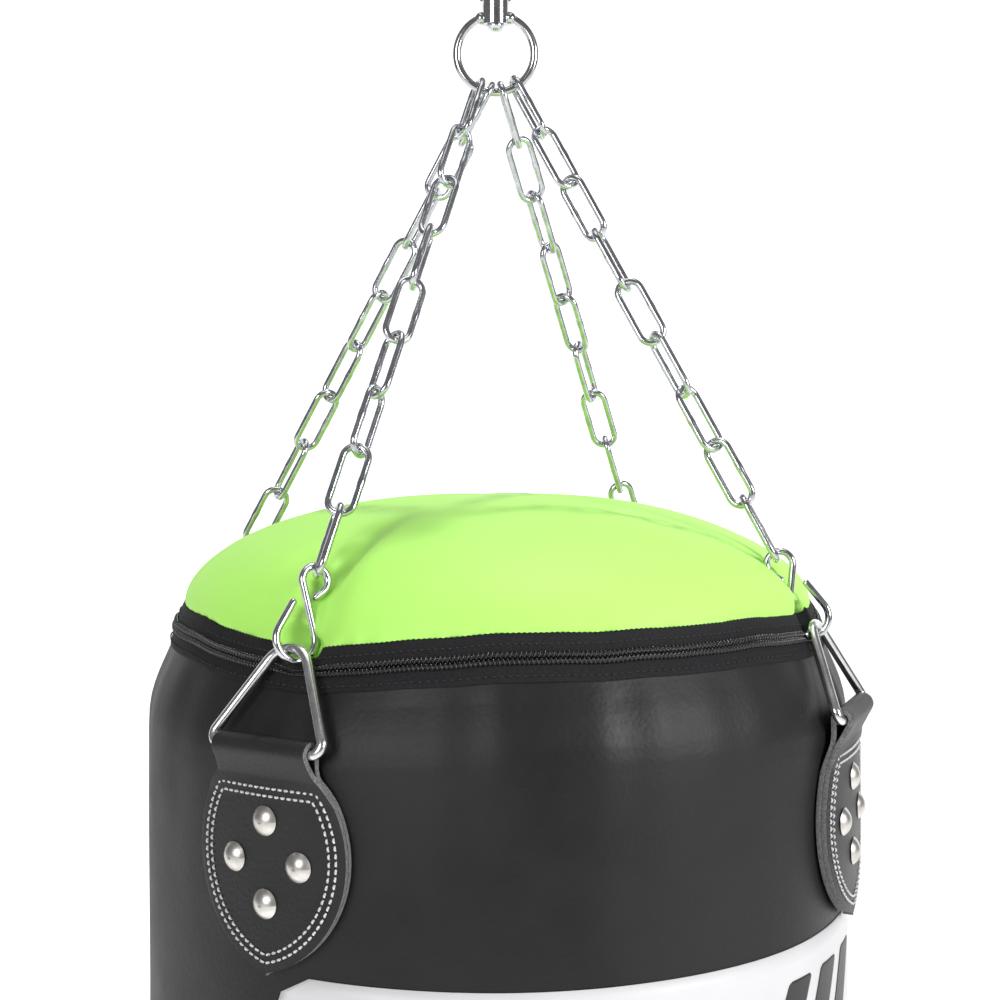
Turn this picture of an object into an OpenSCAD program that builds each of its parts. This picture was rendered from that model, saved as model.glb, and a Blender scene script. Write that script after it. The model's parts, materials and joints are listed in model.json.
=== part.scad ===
// Hanging punching bag: a swivel with a welded ring, four long-link chains, S-hooks and
// D-rings on riveted leather tabs, and a filled cylinder with a zipped domed top.
// Origin: centre of the top eye's bore. +Z is up, and the bag hangs below.

/* [Swivel] */
// Bore of the top eye, where the hanger's pin goes
eye_bore_d = 12; // [8:0.5:14]
// Outside diameter of the top eye
eye_d = 30; // [28:1:36]
// Thickness of the top eye along its bore
eye_t = 10; // [8:1:14]
// Diameter of the swivel pin
pin_d = 6; // [5:0.5:7]
// Diameter of the boss that the ring is welded to
boss_d = 12.8; // [11:0.2:15]
// Height of that boss
boss_h = 11.8; // [10:0.2:14]

/* [Ring] */
// Outside diameter of the hanging ring
ring_d = 41.2; // [38:0.2:46]
// Wire of the hanging ring
ring_wire = 4; // [3.5:0.1:4.5]

/* [Chain] */
// Wire of a chain link
link_wire = 3.2; // [3:0.1:3.4]
// Inside length of a chain link
link_inside = 29; // [28.8:0.05:29.2]
// Outside width of a chain link
link_w = 14.6; // [14:0.1:15.5]
// Links in each chain
link_count = 9; // [9:1:9]

/* [Hooks and D-rings] */
// Wire of an S-hook
hook_wire = 3.2; // [3:0.1:3.4]
// Inside length of an S-hook, from loop to loop
hook_inside = 38; // [37.7:0.1:38.3]
// Wire of a D-ring
dring_wire = 4.5; // [4:0.1:4.8]
// Outside width of a D-ring at its straight bar
dring_w = 60; // [58:0.5:62]
// Outside height of a D-ring
dring_h = 46; // [45.5:0.1:46.5]

/* [Bag] */
// Diameter of the bag
bag_d = 330; // [326:1:334]
// Height of the bag, without its domed top
bag_h = 1200; // [600:10:1800]
// Height of the domed top above the zip
dome_h = 50; // [40:1:56]
// Distance from the ring's centre down to the top of the zip band
rim_drop = 261; // [259:0.5:262]

/* [Tabs] */
// Where the front left tab sits round the bag, from the front
first_tab = -32; // [-35:1:-29]
// Angle between the two front tabs
tab_spread = 100.5; // [97:0.5:104]
// Widest part of a tab
tab_w = 75; // [70:1:80]
// Height of a tab from its loop to its point
tab_h = 95; // [91:1:99]
// Thickness of one layer of leather
leather = 2.4; // [2:0.1:2.6]
// Diameter of a rivet's head
rivet_d = 12; // [10:0.5:13]
// Distance from a tab's rivets to their middle
rivet_reach = 16.5; // [14:0.5:18]

/* [Hidden] */
$fn = 48;
corners = ["fl", "fr", "br", "bl"];
// Order round the bag, and the sides that the chains take on the ring, front left first
tab_az = [
    first_tab,
    first_tab + tab_spread,
    first_tab + 180,
    first_tab + tab_spread + 180
];
ring_at = [-28, 32, 10, -11];
// Turn of each chain's first link from square on the ring, and how far each link turns past square
first_turn = [15, 15, 5, 5];
link_turn = [21.5, 19.8, 12.2, -10];
// Turn of each S-hook from the upright plane through the bag's axis
hook_turn = [-28, 10, 22, -28];

function flatten(lists) = [for (l = lists) each l];

// Swivel, from the eye down
neck_d = 12;
collar_d = 17;
collar_t = 4;
collar_top = -21;
washer_t = 1.5;
washer_d = 15;
turn_gap = 0.15;
run_gap = 0.05;
boss_top = collar_top - collar_t - washer_t - turn_gap;
boss_over_ring = 14;
ring_z = boss_top - boss_h - boss_over_ring;
ring_r = (ring_d - ring_wire) / 2;
pin_head_d = 8.4;
pin_head_h = 3.6;

// Bag, measured down from the ring
bag_r = bag_d / 2;
rim_r = bag_r - 17;
rim_z = ring_z - rim_drop;
band_h = 16;
band_out = 5.8;
tape_t = 1.6;
wall_top = rim_z - band_h;
wall_t = 3;
foot_z = wall_top - bag_h;
foot_r = 12;
cover_t = 3;
loose = 0.2;

// D-ring bar and its place in the tab's loop
bar_room = 0.3;
bar_r = bag_r + loose + leather + bar_room + dring_wire / 2;
bar_z = ring_z - 305;
dring_tilt = 24.5;
dring_inside = dring_h - 2 * dring_wire;
bar_down = dring_inside + dring_wire / 2;
apex_r = bar_r - bar_down * sin(dring_tilt);
apex_z = bar_z + bar_down * cos(dring_tilt);

// Each chain's straight line, from the ring's wire to just under the D-ring's inner top
hook_play = 0.6;
function out(r, az, z) = [r * sin(az), -r * cos(az), z];
function chain_top(k) = [ring_r * sin(ring_at[k]), 0, ring_z - ring_r * cos(ring_at[k])];
function chain_run(k) = out(apex_r, tab_az[k], apex_z - hook_play) - chain_top(k);
function unit(v) = v / norm(v);
function line_az(k) = atan2(chain_run(k)[0], -chain_run(k)[1]);
function line_lean(k) = acos(-unit(chain_run(k))[2]);
// The slack is shared by the ring, every pair of links and both ends of the S-hook
function slack(k) = (link_count * link_inside + hook_inside - norm(chain_run(k)) - ring_wire / 2)
    / (link_count + 2);
function link_down(k, i) = -ring_wire / 2 - slack(k) + i * (link_inside - slack(k));
// A first link is square on the ring when its width lies across both the wire and the line
function along_x(k) = [cos(line_az(k)), sin(line_az(k)), 0];
function along_y(k) = [
    -sin(line_az(k)) * cos(line_lean(k)),
    cos(line_az(k)) * cos(line_lean(k)),
    -sin(line_lean(k))
];
function square_width(k) = cross(unit(chain_run(k)), [cos(ring_at[k]), 0, sin(ring_at[k])]);
function square_turn(k) = atan2(square_width(k) * along_y(k), square_width(k) * along_x(k));
function link_roll(k, i) = square_turn(k) + first_turn[k] + i * (90 + link_turn[k]);

module on_line(k, down) {
    translate(chain_top(k))
        rotate([0, 0, line_az(k)])
            rotate([-line_lean(k), 0, 0])
                translate([0, 0, -down])
                    children();
}

// An arc of wire in the XZ plane, about the origin, counted from +X towards +Z
module wire_arc(r, wire, from, to) {
    rotate([90, 0, 0])
        rotate_extrude(angle = to - from, start = from)
            translate([r, 0])
                circle(d = wire);
}

// A straight wire in the XZ plane, which leaves [x, z] at an angle from +X towards +Z.
// It is a hair thinner than the arcs it joins and laps into them.
module wire_leg(x, z, angle, wire, length) {
    lap = 0.1;
    translate([x, 0, z])
        rotate([0, 90 - angle, 0])
            translate([0, 0, -lap])
                cylinder(d = wire - 0.08, h = length + 2 * lap);
}

module swivel_eye() {
    color("silver") difference() {
        union() {
            rotate([90, 0, 0])
                cylinder(d = eye_d, h = eye_t, center = true);
            translate([0, 0, collar_top])
                cylinder(d = neck_d, h = -collar_top - eye_bore_d / 2 - 1);
            translate([0, 0, collar_top - collar_t])
                cylinder(d = collar_d, h = collar_t);
        }
        rotate([90, 0, 0])
            cylinder(d = eye_bore_d, h = eye_t + 2, center = true);
        translate([0, 0, collar_top - collar_t - 1])
            cylinder(d = pin_d, h = 14);
    }
}

module swivel_pin() {
    head_z = boss_top - boss_h - turn_gap;
    color("silver") {
        translate([0, 0, head_z])
            cylinder(d = pin_d, h = collar_top - collar_t + 12.9 - head_z);
        intersection() {
            translate([0, 0, head_z - pin_head_h])
                cylinder(d = pin_head_d, h = pin_head_h);
            translate([0, 0, head_z + 0.9])
                sphere(r = pin_head_h + 0.9);
        }
    }
}

module thrust_washer() {
    color("gray")
        translate([0, 0, collar_top - collar_t - washer_t])
            difference() {
                cylinder(d = washer_d, h = washer_t);
                translate([0, 0, -1])
                    cylinder(d = pin_d + 0.4, h = washer_t + 2);
            }
}

module hanging_ring() {
    weld_r = 3.1;
    color("silver") difference() {
        union() {
            translate([0, 0, ring_z])
                rotate([90, 0, 0])
                    rotate_extrude()
                        translate([ring_r, 0])
                            circle(d = ring_wire);
            translate([0, 0, boss_top - boss_h])
                cylinder(d = boss_d, h = boss_h);
            for (s = [-1, 1])
                translate([s * boss_d * 0.53, 0, boss_top - boss_h + 3])
                    sphere(r = weld_r);
        }
        translate([0, 0, boss_top - boss_h - 5])
            cylinder(d = pin_d + 2 * run_gap, h = boss_h + 10);
        translate([0, 0, boss_top - boss_h - pin_head_h - 2])
            cylinder(d = pin_head_d + 0.6, h = pin_head_h + 2);
    }
}

// A link that hangs from the origin, its inner top at z = 0 and its width along X
module link_shape() {
    bend = (link_w - link_wire) / 2;
    straight = link_inside - 2 * (bend - link_wire / 2);
    mid = -link_inside / 2;
    for (s = [-1, 1])
        translate([s * bend, 0, mid])
            cylinder(d = link_wire, h = straight, center = true);
    translate([0, 0, mid + straight / 2])
        wire_arc(bend, link_wire, 0, 180);
    translate([0, 0, mid - straight / 2])
        wire_arc(bend, link_wire, 180, 360);
    // the weld, a small swelling half way down one side
    translate([bend, 0, mid])
        sphere(d = link_wire + 0.9);
}

module chain_link(k, i) {
    color("silver")
        on_line(k, link_down(k, i - 1))
            rotate([0, 0, link_roll(k, i - 1)])
                link_shape();
}

// A hook that hangs from the origin, its inner top at z = 0, with its open side towards +X
module hook_shape() {
    small = 5.9;
    large = 8.9;
    small_z = hook_wire / 2 - small;
    large_z = large - hook_wire / 2 - hook_inside;
    lean = asin((small + large) / (small_z - large_z));
    open_lean = 11;
    translate([0, 0, small_z])
        wire_arc(small, hook_wire, -lean, 180 + lean);
    wire_leg(-small * cos(lean), small_z - small * sin(lean), lean - 90, hook_wire, 5);
    wire_leg(small * cos(lean), small_z - small * sin(lean), -90 - lean, hook_wire,
        (small_z - large_z) * cos(lean));
    translate([0, 0, large_z])
        wire_arc(large, hook_wire, 180 - lean, 360 + open_lean);
    wire_leg(large * cos(open_lean), large_z + large * sin(open_lean), 90 + open_lean,
        hook_wire, 13.5);
}

module s_hook(k) {
    color("silver")
        on_line(k, link_down(k, link_count))
            rotate([0, 0, hook_turn[k] - 90])
                hook_shape();
}

// A ring that hangs from the origin, its inner top at z = 0 and its bar along X
module dring_shape() {
    top = 12;
    corner = 4;
    half = (dring_w - dring_wire) / 2;
    top_z = dring_wire / 2 - top;
    side_x = half - corner;
    side_z = corner - bar_down;
    reach = norm([side_x, top_z - side_z]);
    leg = acos((top - corner) / reach) - atan2(top_z - side_z, side_x);
    translate([0, 0, top_z])
        wire_arc(top, dring_wire, leg, 180 - leg);
    for (m = [0, 1])
        mirror([m, 0, 0]) {
            wire_leg(top * cos(leg), top_z + top * sin(leg), leg - 90, dring_wire,
                sqrt(reach * reach - (top - corner) * (top - corner)));
            translate([side_x, 0, side_z])
                wire_arc(corner, dring_wire, -90, leg);
        }
    translate([0, 0, -bar_down])
        rotate([0, 90, 0])
            cylinder(d = dring_wire - 0.08, h = 2 * side_x + 0.2, center = true);
}

module d_ring(k) {
    color("lightgray")
        translate(out(apex_r, tab_az[k], apex_z))
            rotate([0, 0, tab_az[k]])
                rotate([-dring_tilt, 0, 0])
                    dring_shape();
}

// The tab's outline, its loop's width at the top and its point at the bottom, from y = 0 down
neck_w = 47.4;
neck_h = 17;
side_r = 48.2;
side_y = -47;
module tab_outline() {
    side_x = tab_w / 2 - side_r;
    intersection() {
        translate([-tab_w, -tab_h])
            square([2 * tab_w, tab_h]);
        union() {
            translate([-neck_w / 2, -neck_h])
                square([neck_w, neck_h]);
            intersection_for (s = [-1, 1])
                translate([s * side_x, side_y])
                    circle(r = side_r);
        }
    }
}

module round_shell(inner, outer, low, high) {
    translate([0, 0, low])
        difference() {
            cylinder(r = outer, h = high - low, $fn = 96);
            translate([0, 0, -1])
                cylinder(r = inner, h = high - low + 2, $fn = 96);
        }
}

tab_top = bar_z + dring_wire / 2 + bar_room + leather;
tab_in = bag_r + loose;
tab_out = tab_in + 2 * leather;
loop_in = dring_wire / 2 + bar_room;
loop_out = loop_in + leather;
shield_top = tab_top - 16;

// The folded top of a tab in section: y is the distance from the bag's axis and x the height
module loop_section() {
    pinch = -13;
    difference() {
        union() {
            circle(r = loop_out);
            polygon([
                [0, -loop_out],
                [0, loop_out],
                [pinch, tab_out - bar_r],
                [shield_top - bar_z - 4, tab_out - bar_r],
                [shield_top - bar_z - 4, tab_in - bar_r]
            ]);
        }
        circle(r = loop_in);
        polygon([[0, -loop_in], [0, loop_in], [pinch + 2.5, leather - loop_out + 0.6],
            [pinch + 2.5, leather - loop_out]]);
    }
}

module tab(k) {
    color("#26262a") rotate([0, 0, tab_az[k]]) difference() {
        union() {
            intersection() {
                translate([0, -bag_r + 40, tab_top])
                    rotate([90, 0, 0])
                        linear_extrude(60)
                            tab_outline();
                round_shell(tab_in, tab_out, tab_top - tab_h - 1, shield_top);
            }
            difference() {
                translate([0, -bar_r, bar_z])
                    rotate([0, -90, 0])
                        linear_extrude(neck_w, center = true)
                            mirror([0, 1])
                                loop_section();
                translate([0, 0, bar_z - 60])
                    cylinder(r = tab_in, h = 90, $fn = 96);
            }
        }
        rivet_places()
            cylinder(d = shank_d + 2 * loose, h = 2 * (tab_out - bag_r) + 10, center = true);
    }
}

shank_d = 4;
rivet_z = tab_top - 50;
// Four places on a tab at the front, with +Z of each pointing out of the bag
module rivet_places() {
    for (p = [[0, 1], [-1, 0], [1, 0], [0, -1]])
        rotate([0, 0, p[0] * asin(rivet_reach / tab_out)])
            translate([0, -tab_out, rivet_z + p[1] * rivet_reach])
                rotate([90, 0, 0])
                    children();
}

// A domed head on the leather, a shank through the wall and a burr inside it
module rivet() {
    head_h = 3;
    ball = (rivet_d * rivet_d / 4 + head_h * head_h) / (2 * head_h);
    inside = tab_out - bag_r + wall_t;
    sits = 0.35;
    intersection() {
        translate([0, 0, sits])
            cylinder(d = rivet_d, h = head_h);
        translate([0, 0, sits + head_h - ball])
            sphere(r = ball);
    }
    translate([0, 0, -inside - 0.6])
        cylinder(d = shank_d, h = inside + 0.6 + sits);
    translate([0, 0, -inside - 0.8])
        cylinder(d = 8, h = 0.6);
}

module rivets() {
    color("silver")
        for (az = tab_az)
            rotate([0, 0, az])
                rivet_places()
                    rivet();
}

// Outside of the wall from the zip band down, as [radius, height]
shoulder = [[0, 0], [4.2, -9], [8.3, -19], [11.2, -32]];
function wall_line(inset) = [
    for (p = shoulder) [rim_r + band_out + p[0] - inset, wall_top + p[1]]
];

module bag_shell() {
    color("#1d1d20") difference() {
        rotate_extrude($fn = 96)
            polygon(concat(
                [[0, foot_z], [bag_r - foot_r, foot_z], [bag_r - 0.3 * foot_r, foot_z + 0.3 * foot_r],
                    [bag_r, foot_z + foot_r]],
                [for (i = [len(shoulder) - 1:-1:0]) wall_line(0)[i]],
                wall_line(wall_t),
                [[bag_r - wall_t, foot_z + foot_r], [bag_r - foot_r - 1, foot_z + wall_t],
                    [0, foot_z + wall_t]]
            ));
        for (az = tab_az)
            rotate([0, 0, az])
                rivet_places()
                    cylinder(d = shank_d + 2 * loose, h = 24, center = true);
    }
}

// Outside of the dome: a quarter of an ellipse from the rim to the middle
dome_steps = 12;
function dome_line(r, high) = [
    for (i = [0:dome_steps])
        [i == dome_steps ? 0 : r * cos(90 * i / dome_steps), rim_z + high * sin(90 * i / dome_steps)]
];

// Room that each S-hook's lower loop, and the rest of the hook above it, presses into the soft top
hook_room = 11.8;
hook_path = 9.6;
module hook_dents(grow) {
    for (k = [0:3])
        on_line(k, link_down(k, link_count) + hook_inside - 7.3) {
            sphere(r = hook_room + grow);
            cylinder(r = hook_path + grow, h = 62);
        }
}

module dome_solid(inset) {
    rotate_extrude($fn = 96)
        polygon(concat(
            [[0, wall_top], [rim_r + 2 - inset, wall_top], [rim_r - inset - 1, rim_z]],
            dome_line(rim_r - inset - 0.5, dome_h - inset)
        ));
}

module filling() {
    inset = cover_t + 0.4;
    color("khaki") difference() {
        union() {
            dome_solid(inset);
            translate([0, 0, foot_z + wall_t + loose])
                cylinder(r = bag_r - 15.5, h = wall_top - foot_z - wall_t - loose, $fn = 96);
            translate([0, 0, foot_z + foot_r + 1])
                cylinder(r = bag_r - wall_t - 1, h = wall_top - foot_z - foot_r - 36, $fn = 96);
        }
        hook_dents(inset);
    }
}

module top_cover() {
    color("#a4f050") difference() {
        rotate_extrude($fn = 96)
            polygon(concat([[0, rim_z + 0.3], [rim_r, rim_z + 0.3]],
                [for (p = dome_line(rim_r, dome_h)) if (p[1] > rim_z + 0.4) p]));
        difference() {
            rotate_extrude($fn = 96)
                polygon(concat([[0, rim_z - 1]],
                    [[rim_r - cover_t, rim_z - 1]],
                    dome_line(rim_r - cover_t, dome_h - cover_t)));
            hook_dents(cover_t);
        }
        hook_dents(0);
    }
}

// The zip band slopes out from the rim to the wall; along runs down it and up stands off it
band_lean = atan2(band_out, band_h);
function on_band(along, up) = [
    rim_r + along * sin(band_lean) + up * cos(band_lean),
    rim_z - along * cos(band_lean) + up * sin(band_lean)
];
band_len = norm([band_out, band_h]);
coil_at = band_len * 0.5;
coil_d = 1.4;

module band_ring(from, to, low, high, angle = 360) {
    rotate_extrude(angle = angle, $fn = 96)
        polygon([on_band(from, low), on_band(to, low), on_band(to, high), on_band(from, high)]);
}

module zip_tape() {
    color("#141416") difference() {
        band_ring(0.3, band_len - 0.7, -tape_t, 0);
        hook_dents(0);
    }
}

// The coil is left out where it is pressed flat under each D-ring's top
coil_gap = 6;
module zip_coil() {
    color("#0c0c0e")
        for (k = [0:3], s = [-1, 1]) {
            next_az = k == 3 ? tab_az[0] + 360 : tab_az[k + 1];
            rotate([0, 0, tab_az[k] + coil_gap - 90])
                rotate_extrude(angle = next_az - tab_az[k] - 2 * coil_gap, $fn = 96)
                    translate(on_band(coil_at + s * 1.1, coil_d / 2 + 0.03))
                        circle(d = coil_d, $fn = 24);
        }
}

slider_az = 200;
slider_arc = 3.6;
pull_pin = on_band(coil_at + 2.4, 4.6);
pull_pin_d = 1.6;

// Puts a piece on the pull's pivot, along X, with -Y leading out of the bag
module at_pull(lean) {
    rotate([0, 0, slider_az])
        translate([0, -pull_pin[0], pull_pin[1]])
            rotate([-lean, 0, 0])
                children();
}

module zip_slider() {
    half_w = 4.4;
    high = 3.4;
    ear_t = 1.2;
    color("dimgray") difference() {
        union() {
            rotate([0, 0, slider_az - 90 - slider_arc / 2]) {
                band_ring(coil_at - half_w, coil_at + half_w, 2.2, high, slider_arc);
                band_ring(coil_at - half_w, coil_at - half_w + 1.2, 0.3, high, slider_arc);
                band_ring(coil_at + half_w - 1.2, coil_at + half_w, 0.3, high, slider_arc);
            }
            at_pull(band_lean)
                for (s = [-1, 1])
                    translate([s * 3.8 - ear_t / 2, -1.6, -1.5])
                        cube([ear_t, 3.3, 3]);
        }
        at_pull(band_lean)
            rotate([0, 90, 0])
                cylinder(d = pull_pin_d + 2 * run_gap, h = 12, center = true);
    }
}

module zip_pull() {
    color("dimgray")
        at_pull(15) {
            rotate([0, 90, 0])
                cylinder(d = pull_pin_d, h = 8.8, center = true);
            translate([-3, -0.6, -19])
                cube([6, 1.2, 18.7]);
        }
}

swivel_eye();
swivel_pin();
thrust_washer();
hanging_ring();
for (k = [0:3], i = [1:link_count])
    chain_link(k, i);
for (k = [0:3])
    s_hook(k);
for (k = [0:3])
    d_ring(k);
for (k = [0:3])
    tab(k);
rivets();
bag_shell();
filling();
top_cover();
zip_tape();
zip_coil();
zip_slider();
zip_pull();
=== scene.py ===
import bpy
import json
import math
import numpy as np
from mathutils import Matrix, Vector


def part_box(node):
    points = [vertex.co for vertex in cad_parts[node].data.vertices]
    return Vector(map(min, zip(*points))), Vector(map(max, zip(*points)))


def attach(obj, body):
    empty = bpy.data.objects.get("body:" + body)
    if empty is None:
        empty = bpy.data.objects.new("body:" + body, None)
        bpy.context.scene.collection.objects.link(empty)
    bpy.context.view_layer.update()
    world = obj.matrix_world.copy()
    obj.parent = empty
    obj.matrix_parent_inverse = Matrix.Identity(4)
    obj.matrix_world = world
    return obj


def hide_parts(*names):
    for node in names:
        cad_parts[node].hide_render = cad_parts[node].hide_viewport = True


# Hanging punching bag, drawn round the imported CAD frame.
# Lengths in the dictionaries are in millimetres and angles in degrees.
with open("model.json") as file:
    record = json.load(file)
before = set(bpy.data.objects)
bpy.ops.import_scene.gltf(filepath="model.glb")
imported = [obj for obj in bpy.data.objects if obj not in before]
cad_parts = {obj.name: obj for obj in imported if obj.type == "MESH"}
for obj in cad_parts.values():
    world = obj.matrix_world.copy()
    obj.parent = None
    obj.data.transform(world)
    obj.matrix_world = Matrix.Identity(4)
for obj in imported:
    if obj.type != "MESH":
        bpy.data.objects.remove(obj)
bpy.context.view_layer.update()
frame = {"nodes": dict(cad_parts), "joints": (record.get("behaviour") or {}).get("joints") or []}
joints = {joint["name"]: joint for joint in frame["joints"]}
mm = 0.001
corners = ["fl", "fr", "br", "bl"]
print("frame loaded:", len(frame["nodes"]), "nodes")


def lowHigh(node):
    low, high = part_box(node)
    return np.array(low) / mm, np.array(high) / mm


def pivot(joint):
    return np.array(joints[joint]["pos_m"]) / mm


def buildPiece(name, points, wrapU=False, wrapV=False, caps=(), inside=(0, 0, 0)):
    # points[i, j] is the surface at step i along u and step j along v, in millimetres.
    # caps holds 0 and/or 1: the first and last u rows, which are closed with one face each.
    rows, cols = points.shape[:2]
    i = np.arange(rows if wrapU else rows - 1)[:, None]
    j = np.arange(cols if wrapV else cols - 1)[None, :]
    nextI, nextJ = (i + 1) % rows, (j + 1) % cols
    quads = np.stack([i * cols + j, nextI * cols + j, nextI * cols + nextJ, i * cols + nextJ], -1)
    quads = quads.reshape(-1, 4)
    flat = points.reshape(-1, 3)
    centre = np.array(inside, float)
    a, b, c, d = (flat[quads[:, k]] - centre for k in range(4))
    volume = (np.cross(a, b) * c).sum() + (np.cross(a, c) * d).sum()
    faces = [list(reversed(q)) for q in quads.tolist()] if volume < 0 else quads.tolist()
    for cap in caps:
        ring = [(0 if cap == 0 else rows - 1) * cols + k for k in range(cols)]
        faces.append(ring if (cap == 0) == (volume < 0) else ring[::-1])
    return meshPiece(name, flat, faces)


def meshPiece(name, flat, faces):
    mesh = bpy.data.meshes.new(name)
    mesh.from_pydata((np.asarray(flat) * mm).tolist(), [], faces)
    mesh.polygons.foreach_set("use_smooth", np.ones(len(mesh.polygons), bool))
    mesh.validate()
    mesh.update()
    piece = bpy.data.objects.new(name, mesh)
    bpy.context.scene.collection.objects.link(piece)
    return piece


def settle(piece, body, finish, replaced=()):
    for extra in finish if isinstance(finish, (list, tuple)) else [finish]:
        piece.data.materials.append(extra)
    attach(piece, body)
    if replaced:
        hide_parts(*replaced)
    return piece


def solidify(piece, thickness, offset=-1, rim=0):
    wall = piece.modifiers.new("wall", "SOLIDIFY")
    wall.thickness = thickness * mm
    wall.offset = offset
    wall.material_offset_rim = rim
    return wall


def turned(points, axis, degrees):
    # points turned about X or Z by the right-hand rule
    c, s = math.cos(math.radians(degrees)), math.sin(math.radians(degrees))
    matrix = {"x": [[1, 0, 0], [0, c, -s], [0, s, c]], "z": [[c, -s, 0], [s, c, 0], [0, 0, 1]]}[axis]
    return points @ np.array(matrix).T


def around(r, az, z):
    # azimuth 0 is the front, and turns towards +X
    a = np.radians(az)
    return np.stack(np.broadcast_arrays(r * np.sin(a), -r * np.cos(a), z), -1)


def arc(cx, cz, r, start, end, step=7.5):
    # points in the XZ plane round (cx, cz), with angles from +X towards +Z
    angle = np.radians(np.linspace(start, end, max(2, int(abs(end - start) / step) + 1)))
    return np.stack([cx + r * np.cos(angle), 0 * angle, cz + r * np.sin(angle)], -1)


def wire(path, radius, closed, sides=14):
    # A circle carried along a flat path in the XZ plane: path + r cos(t) side + r sin(t) Y,
    # where side is square to the path. Free ends shrink over four rings and are capped.
    path = np.asarray(path, float)
    radius = np.broadcast_to(np.asarray(radius, float), len(path)).copy()
    if not closed:
        ends = np.array([0.5, 0.32, 0.15, 0.04])
        size = np.array([0.55, 0.8, 0.93, 0.99])
        first, last = path[1] - path[0], path[-1] - path[-2]
        first, last = first / np.linalg.norm(first), last / np.linalg.norm(last)
        r0, r1 = radius[0], radius[-1]
        lead = path[0] + first * (0.5 - ends)[:, None] * r0
        tail = path[-1] - last * (0.5 - ends[::-1])[:, None] * r1
        path = np.vstack([lead, path[0] + first * 0.5 * r0, path[1:-1], path[-1] - last * 0.5 * r1, tail])
        radius = np.concatenate([r0 * size, radius, r1 * size[::-1]])
    if closed:
        tangent = np.roll(path, -1, 0) - np.roll(path, 1, 0)
    else:
        tangent = np.gradient(path, axis=0)
    tangent /= np.linalg.norm(tangent, axis=1)[:, None]
    across = np.array([0.0, 1.0, 0.0])
    side = np.cross(tangent, across)
    t = np.linspace(0, 2 * np.pi, sides, endpoint=False)
    ringPoints = side[:, None, :] * np.cos(t)[None, :, None] + across * np.sin(t)[None, :, None]
    return path[:, None, :] + radius[:, None, None] * ringPoints


class Value:
    # a shader socket that can be written into a Python expression
    def __init__(self, finish, socket):
        self.finish, self.socket = finish, socket

    def maths(self, operation, first, second):
        return self.finish.node("Math", {"operation": operation}, {0: first, 1: second})

    def __add__(self, other):
        return self.maths("ADD", self, other)

    def __mul__(self, other):
        return self.maths("MULTIPLY", self, other)

    __radd__, __rmul__ = __add__, __mul__


class Finish:
    # one material: a Principled shader with constants on its own sockets
    def __init__(self, name, **constants):
        self.material = bpy.data.materials.new(name)
        self.material.use_nodes = True
        self.tree = self.material.node_tree
        self.shader = self.tree.nodes["Principled BSDF"]
        for key, value in constants.items():
            label = key.replace("_", " ").title().replace("Ior", "IOR")
            value = (*value, 1) if isinstance(value, tuple) else value
            self.shader.inputs[label].default_value = value
        self.place = self.node("TexCoord", {}, {}, "Object")

    def plug(self, socket, value):
        if isinstance(value, Value):
            self.tree.links.new(value.socket, socket)
        else:
            isColour = isinstance(value, tuple) and len(socket.default_value) == 4
            socket.default_value = (*value, 1) if isColour else value

    def node(self, kind, settings, values, out=0):
        made = self.tree.nodes.new("ShaderNode" + kind)
        for key, value in settings.items():
            if key == "stops":
                for k, (position, colour) in enumerate(value):
                    stop = made.color_ramp.elements[k] if k < 2 else made.color_ramp.elements.new(position)
                    stop.position = position
                    stop.color = (*colour, 1)
            else:
                setattr(made, key, value)
        for key, value in values.items():
            self.plug(made.inputs[key], value)
        return Value(self, made.outputs[out])

    def noise(self, scale, detail=3, rough=0.5):
        values = {"Scale": scale, "Detail": detail, "Roughness": rough, "Vector": self.place}
        return self.node("TexNoise", {}, values)

    def cells(self, scale, feature="F1"):
        return self.node("TexVoronoi", {"feature": feature}, {"Scale": scale, "Vector": self.place})

    def mix(self, factor, first, second):
        return self.node("Mix", {"data_type": "RGBA"}, {0: factor, 6: first, 7: second}, 2)

    def spread(self, value, low, high, fromLow=0.3, fromHigh=0.7):
        values = {0: value, 1: fromLow, 2: fromHigh, 3: low, 4: high}
        return self.node("MapRange", {}, values)

    def bump(self, height, strength, distance, over=None):
        values = {"Height": height, "Strength": strength, "Distance": distance}
        if over:
            values["Normal"] = over
        return self.node("Bump", {}, values)

    def use(self, **outputs):
        for key, value in outputs.items():
            self.plug(self.shader.inputs[key.replace("_", " ").title()], value)
        return self.material


def metalFinish(name, dark, light, shine, streak):
    # plated wire: cloudy zinc crystals, fine drawing marks and a little dirt in the roughness
    made = Finish(name, metallic=1.0)
    cloud = made.noise(190, 4, 0.6)
    spots = made.cells(900)
    tone = made.spread(cloud, 0, 1, 0.35, 0.68)
    colour = made.mix(tone, dark, light)
    worn = made.spread(made.noise(60, 2), shine[0], shine[1])
    marks = made.bump(spots, streak, 0.0001)
    lumps = made.bump(made.noise(320, 2), streak * 1.6, 0.00025, marks)
    return made.use(base_color=colour, roughness=worn, normal=lumps)


def grainFinish(name, dark, light, grain, rough, height, **constants):
    # coated cloth or leather: pebbled grain, fine pores, and broad patches worn smoother
    made = Finish(name, **constants)
    pebbles = made.cells(grain, "SMOOTH_F1")
    pores = made.noise(grain * 2.6, 3, 0.6)
    patches = made.noise(9, 4, 0.62)
    colour = made.mix(made.spread(patches, 0, 1), dark, light)
    worn = made.spread(patches + pores * 0.25, rough[0], rough[1], 0.4, 0.85)
    fine = made.bump(pores, height * 0.6, 0.0002)
    pebbled = made.bump(pebbles, height, 0.0005, fine)
    return made.use(base_color=colour, roughness=worn, normal=pebbled)


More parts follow.
